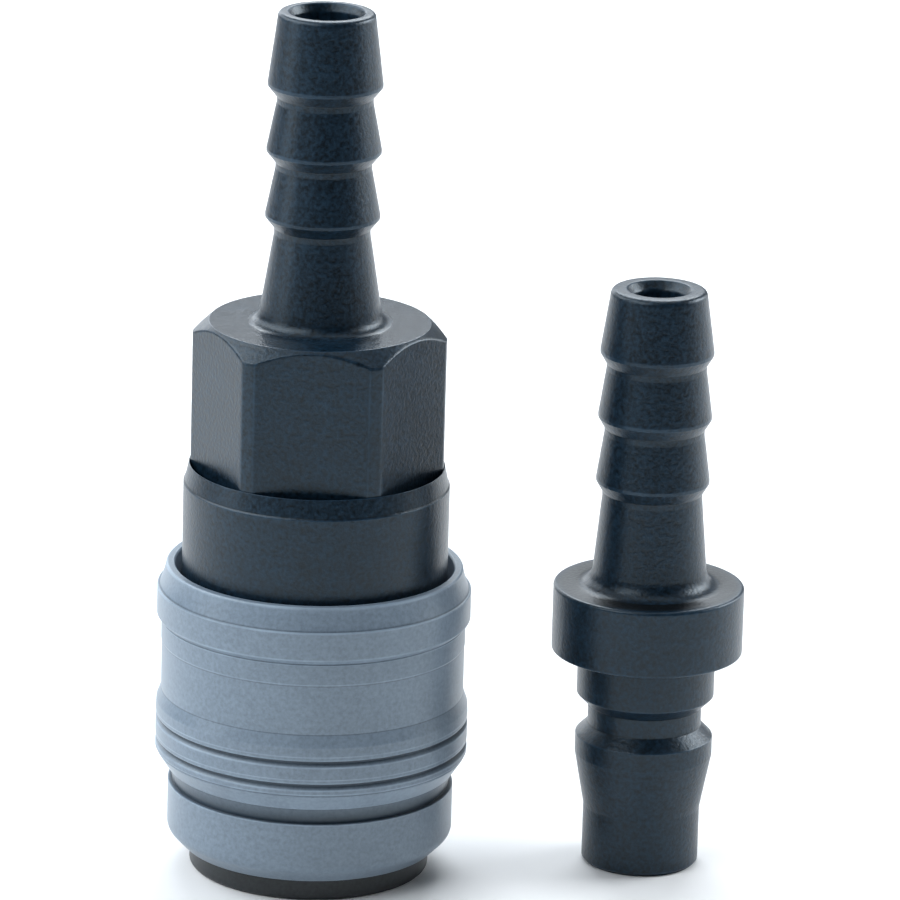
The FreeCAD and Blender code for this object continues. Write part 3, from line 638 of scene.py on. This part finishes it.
def plastic(name, axis, dark, light, shine, tint, grain):
    """Satin plastic. Its tone is the weighted sum of mottle, grain and rings, which
    mixes the dark and the light colour; edges are painted lighter, partly as wear and
    partly as painted highlight, hollows are painted darker as painted shade, and grain
    and rings lift the surface by up to grain millimetres.
    """
    n = Nodes(name)
    place = n.from_axis(axis)
    cloud = n.noise(place, MOTTLE, 3)
    speck = n.between(n.noise(place, GRAIN, 2, 0.6), 0.25, 0.75)
    squeezed = n.add("ShaderNodeMapping", {"Vector": place, "Scale": (1, 1, RING_SQUEEZE)})
    rings = n.noise(squeezed.outputs[0], RINGS, 2, 0.6)
    tone = n.math("ADD", n.math("MULTIPLY", cloud, SHARES[0]),
                  n.math("ADD", n.math("MULTIPLY", speck, SHARES[1]),
                         n.math("MULTIPLY", rings, SHARES[2])))
    edge = n.number("edge")
    colour = n.mix(n.between(tone, 0.25, 0.75), dark, light)
    # Edges, and the sleeve's painted-light band on its cone, are painted lighter: partly wear,
    # partly painted highlight.
    wear_and_highlight = n.math("MULTIPLY", n.between(edge, 0.3, 1.0), n.between(cloud, 0.35, 0.65, 0.2, 0.6))
    colour = n.mix(wear_and_highlight, colour, tuple(min(1.0, WEAR_AND_HIGHLIGHT_LIGHTER * c + 0.008) for c in light))
    # Painted shade: inner corners and grooves are darkened, as occlusion would darken them.
    deep = n.math("MAXIMUM", n.between(edge, -0.3, -1.0, 0.0, 0.4),
                  n.between(n.number("hollow"), 0.06, 0.38, 0.0, 1.0))
    colour = n.mix(deep, colour, tuple(s * c for s, c in zip(DEEP_SHADE, dark)))
    rough = n.between(n.math("ADD", speck, n.math("MULTIPLY", edge, -0.2)), 0.2, 0.8,
                      shine - 0.03, shine + 0.04)
    rough = n.math("SUBTRACT", rough, n.math("MULTIPLY", n.number("polish"), POLISHED))
    height = n.math("ADD", n.math("MULTIPLY", speck, grain),
                    n.math("MULTIPLY", rings, 0.5 * grain))
    bump = n.add("ShaderNodeBump", {"Height": height, "Distance": MM, "Strength": 1.0})
    n.shade(Base_Color=colour, Roughness=rough, IOR=1.46, Specular_Tint=(*tint, 1),
            Normal=bump.outputs[0])
    return n.material


# %% Dress the plastic pieces
DARK, DARK_LIGHT = (0.0008, 0.0027, 0.0050), (0.0073, 0.0244, 0.0455)
BLUE, BLUE_LIGHT = (0.150, 0.193, 0.242), (0.202, 0.260, 0.324)
DARK_SHEEN, BLUE_SHEEN = (0.81, 0.93, 1.0), (0.95, 0.97, 0.92)
RING_DARK, RING_LIGHT = (0.013, 0.016, 0.018), (0.026, 0.031, 0.034)
NO_TINT = (1, 1, 1)
socket_dark = plastic("socket_dark_plastic", SOCKET_AXIS, DARK, DARK_LIGHT, 0.35,
                      DARK_SHEEN, 0.017)
plug_dark = plastic("plug_dark_plastic", PLUG_AXIS, DARK, DARK_LIGHT, 0.35,
                    DARK_SHEEN, 0.017)
sleeve_blue = plastic("sleeve_blue_plastic", SOCKET_AXIS, BLUE, BLUE_LIGHT, 0.36,
                      BLUE_SHEEN, 0.006)
ring_dark = plastic("ring_dark_plastic", SOCKET_AXIS, RING_DARK, RING_LIGHT, 0.40,
                    NO_TINT, 0.005)
for piece, material in ((adapter, socket_dark), (body, socket_dark), (stop, ring_dark),
                        (plug, plug_dark), (sleeve, sleeve_blue)):
    dress(piece, material)
    print(f"{piece.name} is of {material.name}")

# %% [markdown]
# ## The inner pieces
#
# The balls, the valve with its guide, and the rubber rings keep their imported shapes, which
# are right already. They and the wound springs get their own finishes: polished steel,
# drawn wire, grey plastic and black rubber.

# %% Finish the inner pieces
BALL_STREAK, WIRE_STREAK, RUBBER_TOOTH = 900, 2500, 4200    # noise scales, cycles a metre


def metal(name, colour, rough, streak):
    """Steel: one noise makes the colour up to a fifth darker and the polish uneven."""
    n = Nodes(name)
    fine = n.noise(n.from_axis(SOCKET_AXIS), streak, 3)
    n.shade(Base_Color=n.mix(n.between(fine, 0.3, 0.7), tuple(0.8 * c for c in colour), colour),
            Metallic=1.0, Roughness=n.between(fine, 0.3, 0.7, rough - 0.05, rough + 0.08))
    return n.material


def rubber(name):
    """Matt black rubber with a fine tooth, 0.02 mm high."""
    n = Nodes(name)
    tooth = n.noise(n.from_axis(SOCKET_AXIS), RUBBER_TOOTH, 2)
    bump = n.add("ShaderNodeBump", {"Height": tooth, "Distance": 0.02 * MM})
    n.shade(Base_Color=n.mix(n.between(tooth, 0.35, 0.65), (0.008, 0.008, 0.009),
                             (0.022, 0.022, 0.023)),
            Roughness=n.between(tooth, 0.3, 0.7, 0.55, 0.75), Normal=bump.outputs[0])
    return n.material


ball_steel = metal("ball_steel", (0.72, 0.72, 0.73), 0.12, BALL_STREAK)
wire_steel = metal("spring_wire", (0.55, 0.55, 0.56), 0.3, WIRE_STREAK)
black_rubber = rubber("black_rubber")
valve_grey = plastic("valve_grey_plastic", SOCKET_AXIS, (0.06, 0.065, 0.07),
                     (0.10, 0.105, 0.11), 0.4, NO_TINT, 0.005)
for piece in (sleeve_coil, valve_coil):
    dress(piece, wire_steel)
finishes = {"valve_poppet": valve_grey, "valve_guide": valve_grey, "valve_seal": black_rubber,
            "nose_packing": black_rubber, "adapter_seal": black_rubber}
finishes.update({name: ball_steel for name in nodes if name.startswith("lock_ball")})
for name, material in finishes.items():
    dress(nodes[name], material)
print(len(finishes), "packed pieces and two springs finished")

# %% [markdown]
# ## Floor, light and camera
#
# The photograph is a product picture: a white table, bright from behind and from both
# sides, with the camera's own side left dim. So the pieces get bright rims and a dark
# middle. Four large soft lights stand in a wide half circle round the back, three more
# hang closer and higher, behind, at the left and at the front left, two brighten the
# floor where the pieces cast their shadows, and weak ones fill from low behind and from
# above. Beyond the part of the table that
# the photograph shows, the floor fades into the pale room, so that a low view has no
# hard horizon.

# %% Lay the floor
FLOOR_HALF = 3.0
FADE_FROM, FADE_TO = 0.32, 0.55         # metres from the middle
FLOOR_WHITE = (0.95, 0.945, 0.935, 1)
ROOM_PALE = (0.93, 0.94, 0.95, 1)

floor = new_piece("floor", np.array([(x, y, 0) for x, y in ((-1, -1), (1, -1), (1, 1), (-1, 1))])
                  * FLOOR_HALF / MM, [(0, 1, 2, 3)])
look = Nodes("pale_floor")
look.shade(Base_Color=FLOOR_WHITE, Roughness=1.0, Specular_IOR_Level=0.0)
away = look.add("ShaderNodeVectorMath", {0: look.add("ShaderNodeTexCoord").outputs["Object"]},
                operation="LENGTH").outputs["Value"]
direct = look.add("ShaderNodeLightPath").outputs["Is Camera Ray"]
fade = look.math("MULTIPLY", direct, look.between(away, FADE_FROM, FADE_TO))
room = look.add("ShaderNodeEmission", {"Color": ROOM_PALE, "Strength": 1.0})
blend = look.add("ShaderNodeMixShader", {0: fade, 1: look.shader.outputs[0], 2: room.outputs[0]})
look.put(look.tree.nodes["Material Output"].inputs["Surface"], blend.outputs[0])
dress(floor, look.material)
print(f"floor: {2 * FLOOR_HALF:.0f} m square, fading from {FADE_FROM} m on")


# %% Hang the lights
COOL = (0.90, 0.95, 1.0)
FAR, NEAR = (0.9, 0.39, 0.35), (0.5, 0.33, 0.28)    # distance, width and height
ON_FLOOR = (0.45, 0.24, 0.18)
AIM_HEIGHT = 0.03


def softbox(name, azimuth, elevation, distance, width, height, radiance):
    """A rectangular light that looks at the pair. Azimuth 0 is +X and 90 is behind it.
    Its power is its radiance times pi times its area.
    """
    lamp = bpy.data.lights.new(name, "AREA")
    lamp.shape, lamp.size, lamp.size_y = "RECTANGLE", width, height
    lamp.energy = radiance * math.pi * width * height
    lamp.color = COOL
    a, e = math.radians(azimuth), math.radians(elevation)
    place = Vector((math.cos(a) * math.cos(e), math.sin(a) * math.cos(e), math.sin(e))) * distance
    light = bpy.data.objects.new(name, lamp)
    light.location = place + Vector((0, 0, AIM_HEIGHT))
    light.rotation_euler = (-place).to_track_quat("-Z", "Y").to_euler()
    bpy.context.scene.collection.objects.link(light)
    print(f"{name}: {lamp.energy:.2f} W")


softbox("light_right", 12, 12, *FAR, 2.1)
softbox("light_back_right", 40, 12, *FAR, 3.8)
softbox("light_back_left", 115, 12, *FAR, 3.1)
softbox("light_left", 190, 12, *FAR, 2.8)
softbox("light_near_back", 90, 42, *NEAR, 6.8)
softbox("light_near_left", 180, 42, *NEAR, 4.9)
softbox("light_near_front_left", 225, 42, *NEAR, 3.1)
softbox("light_floor_right", 20, 28, *ON_FLOOR, 9.5)
softbox("light_floor_left", 150, 28, *ON_FLOOR, 3.2)
softbox("light_low_back", 90, 16, 0.9, 0.75, 0.32, 0.75)
softbox("light_top", 90, 85, 0.5, 0.44, 0.44, 1.1)

# %% Light the room
# The camera sees a pale room, and the pieces see a dim one, so that it doesn't lift their
# dark middles.
ROOM_DIM, ROOM_DIM_STRENGTH = (0.9, 0.95, 1.0, 1), 0.02

world = bpy.data.worlds.new("studio")
world.use_nodes = True
sky = world.node_tree
dim = sky.nodes["Background"]
dim.inputs[0].default_value, dim.inputs[1].default_value = ROOM_DIM, ROOM_DIM_STRENGTH
pale = sky.nodes.new("ShaderNodeBackground")
pale.inputs[0].default_value, pale.inputs[1].default_value = ROOM_PALE, 1.0
choose, path = sky.nodes.new("ShaderNodeMixShader"), sky.nodes.new("ShaderNodeLightPath")
sky.links.new(path.outputs["Is Camera Ray"], choose.inputs[0])
sky.links.new(dim.outputs[0], choose.inputs[1])
sky.links.new(pale.outputs[0], choose.inputs[2])
sky.links.new(choose.outputs[0], sky.nodes["World Output"].inputs[0])
bpy.context.scene.world = world
bpy.context.scene.view_settings.view_transform = "Standard"

# %% [markdown]
# ## The camera
#
# The ellipses of the rims say how far down the photograph looks, and the two halves lean
# a little to one side, which is the camera's roll. The long lens stands well back, as for
# a product picture, so upright lines stay nearly parallel.

# %% Set up the camera
PITCH, ROLL = math.radians(16.8), math.radians(1.6)
CAMERA_AT = (-0.45, -590.65, 215.15)
FOCAL, SENSOR = 294.39, 36              # mm

up = Vector((0, math.sin(PITCH), math.cos(PITCH)))
right = Vector((1, 0, 0))
ahead = Vector((0, math.cos(PITCH), -math.sin(PITCH)))
across = right * math.cos(ROLL) + up * math.sin(ROLL)
above = up * math.cos(ROLL) - right * math.sin(ROLL)
camera = bpy.data.objects.new("camera", bpy.data.cameras.new("camera"))
camera.matrix_world = Matrix.Translation(Vector(CAMERA_AT) * MM) @ Matrix(
    (across, above, -ahead)).transposed().to_4x4()
camera.data.lens, camera.data.sensor_width = FOCAL, SENSOR
bpy.context.scene.collection.objects.link(camera)
bpy.context.scene.camera = camera
print(f"camera: {math.degrees(2 * math.atan(SENSOR / 2 / FOCAL)):.2f} degrees wide")
